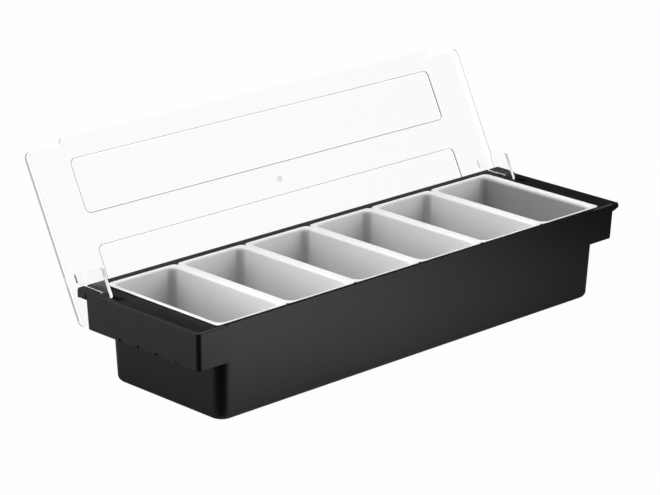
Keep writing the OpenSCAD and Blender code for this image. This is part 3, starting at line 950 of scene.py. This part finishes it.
def studio_sides(nodes, links, direction):
    """Bright for rays to the sides, weaker straight up, dark towards the camera and straight away from it."""
    off_side = maths(nodes, links, "ABSOLUTE", along(nodes, links, direction, TOWARDS_CAMERA))
    sides = ranged(nodes, links, off_side, DARK_FROM, DARK_TO, 1, DARKEST)
    to_left = along(nodes, links, direction, TO_THE_LEFT)
    stronger = maths(nodes, links, "MULTIPLY_ADD", to_left, LEFT_SHARE, 1.0)
    height = parts_of(nodes, links, direction)["Z"]
    overhead = ranged(nodes, links, height, OVERHEAD_FROM, OVERHEAD_TO, 1, OVERHEAD)
    return product(nodes, links, sides, overhead, stronger)


def corner_darkness(nodes, links, position):
    """1 beside the caddy, almost 0 on the quarter of the floor that lies before its near corner."""
    from_corner, unit = nodes.new("ShaderNodeVectorMath"), nodes.new("ShaderNodeVectorMath")
    from_corner.operation, unit.operation = "SUBTRACT", "NORMALIZE"
    from_corner.inputs[1].default_value = NEAR_CORNER
    links.new(position, from_corner.inputs[0])
    links.new(from_corner.outputs[0], unit.inputs[0])
    facing = along(nodes, links, unit.outputs[0], TOWARDS_CAMERA)
    return ranged(nodes, links, facing, DARK_FROM, DARK_TO, 1, DARKEST)


def floor_glow(nodes, links, position):
    """What gloss sees of the floor: bright before the left half, weaker on the left and close to the foot."""
    place = parts_of(nodes, links, position)
    in_front = ranged(nodes, links, place["X"], GLOW_FROM, GLOW_TO, FLOOR_GLOW, 0)
    on_the_left = ranged(nodes, links, place["Y"], LEFT_FROM, LEFT_TO, 1, LEFT_GLOW)
    beyond = [maths(nodes, links, "SUBTRACT", maths(nodes, links, "ABSOLUTE", place[axis]), half)
              for axis, half in (("X", FOOT_HALF), ("Y", FOOT_DEPTH))]
    from_foot = maths(nodes, links, "MAXIMUM", *beyond)
    slope = (1 - CONTACT_SHADOW) / SHADOW_REACH
    less_shadow = maths(nodes, links, "MULTIPLY_ADD", from_foot, slope, CONTACT_SHADOW)
    shadow = maths(nodes, links, "MINIMUM", less_shadow, 1.0)
    return product(nodes, links, in_front, on_the_left, shadow, corner_darkness(nodes, links, position))


def high_strips(nodes, links, direction):
    """Two strips high up at the sides, for rays that were mirrored once."""
    height = ranged(nodes, links, parts_of(nodes, links, direction)["Z"], *STRIP_HEIGHT)
    off_side = maths(nodes, links, "ABSOLUTE", along(nodes, links, direction, TOWARDS_CAMERA))
    aside = ranged(nodes, links, off_side, *STRIP_LENGTH, 1, 0)
    to_left = along(nodes, links, direction, TO_THE_LEFT)
    share = maths(nodes, links, "MULTIPLY_ADD", to_left, STRIP_LEFT_SHARE, 1.0)
    path = nodes.new("ShaderNodeLightPath")
    once = maths(nodes, links, "COMPARE", path.outputs["Glossy Depth"], 1.0, 0.5)
    return product(nodes, links, height, aside, share, once, STRIP_LIGHT)


# %% White ground
def make_floor():
    mesh = bpy.data.meshes.new("floor")
    h = FLOOR_HALF
    corners = [(x, y, -FLOOR_BELOW) for x, y in ((-h, -h), (h, -h), (h, h), (-h, h))]
    mesh.from_pydata(corners, [], [(0, 1, 2, 3)])
    floor = link("floor", mesh)
    material, nodes, links, shader = new_material("pale_floor")
    shader.inputs["Base Color"].default_value = (0.45, 0.45, 0.45, 1)
    shader.inputs["Roughness"].default_value = 1
    shader.inputs["Specular IOR Level"].default_value = 0
    geometry = nodes.new("ShaderNodeNewGeometry")
    in_gloss = nodes.new("ShaderNodeEmission")
    links.new(floor_glow(nodes, links, geometry.outputs["Position"]), in_gloss.inputs["Strength"])
    gloss_mix, eye_mix = nodes.new("ShaderNodeMixShader"), nodes.new("ShaderNodeMixShader")
    links.new(seen_in_gloss(nodes, links), gloss_mix.inputs[0])
    links.new(shader.outputs[0], gloss_mix.inputs[1])
    links.new(in_gloss.outputs[0], gloss_mix.inputs[2])
    own_white = nodes.new("ShaderNodeEmission")
    links.new(product(nodes, links, seen_directly(nodes, links), FLOOR_OWN_WHITE), eye_mix.inputs[0])
    links.new(gloss_mix.outputs[0], eye_mix.inputs[1])
    links.new(own_white.outputs[0], eye_mix.inputs[2])
    links.new(eye_mix.outputs[0], nodes["Material Output"].inputs["Surface"])
    mesh.materials.append(material)
    return floor


def make_world():
    world = bpy.data.worlds.new("studio")
    bpy.context.scene.world = world
    world.use_nodes = True
    nodes, links = world.node_tree.nodes, world.node_tree.links
    light = nodes["Background"]
    light.inputs["Color"].default_value = (1, 1, 1, 1)
    direction = nodes.new("ShaderNodeTexCoord")
    sides = studio_sides(nodes, links, direction.outputs["Generated"])
    in_gloss = seen_in_gloss(nodes, links)
    strength = maths(nodes, links, "MULTIPLY_ADD", in_gloss, WORLD_GLOSS - WORLD_LIGHT, WORLD_LIGHT)
    strips = product(nodes, links, high_strips(nodes, links, direction.outputs["Generated"]), in_gloss)
    links.new(maths(nodes, links, "MULTIPLY_ADD", sides, strength, strips), light.inputs["Strength"])
    white = nodes.new("ShaderNodeBackground")
    white.inputs["Color"].default_value = (1, 1, 1, 1)
    mix = nodes.new("ShaderNodeMixShader")
    links.new(seen_directly(nodes, links), mix.inputs[0])
    links.new(light.outputs[0], mix.inputs[1])
    links.new(white.outputs[0], mix.inputs[2])
    links.new(mix.outputs[0], nodes["World Output"].inputs["Surface"])


def softbox(name, place, aim, size, power):
    """A square studio light that looks at a point."""
    data = bpy.data.lights.new(name, "AREA")
    data.shape = "SQUARE"
    data.size = size
    data.energy = power
    lamp = bpy.data.objects.new(name, data)
    lamp.location = place
    lamp.rotation_euler = (Vector(aim) - Vector(place)).to_track_quat("-Z", "Y").to_euler()
    bpy.context.scene.collection.objects.link(lamp)
    return lamp


make_floor()
make_world()
softbox("key", (-1.3, 0.0, 1.1), (0, 0, 0.05), 0.9, 3)
bpy.context.scene.view_settings.view_transform = "Standard"
print("floor, world and key light are set")
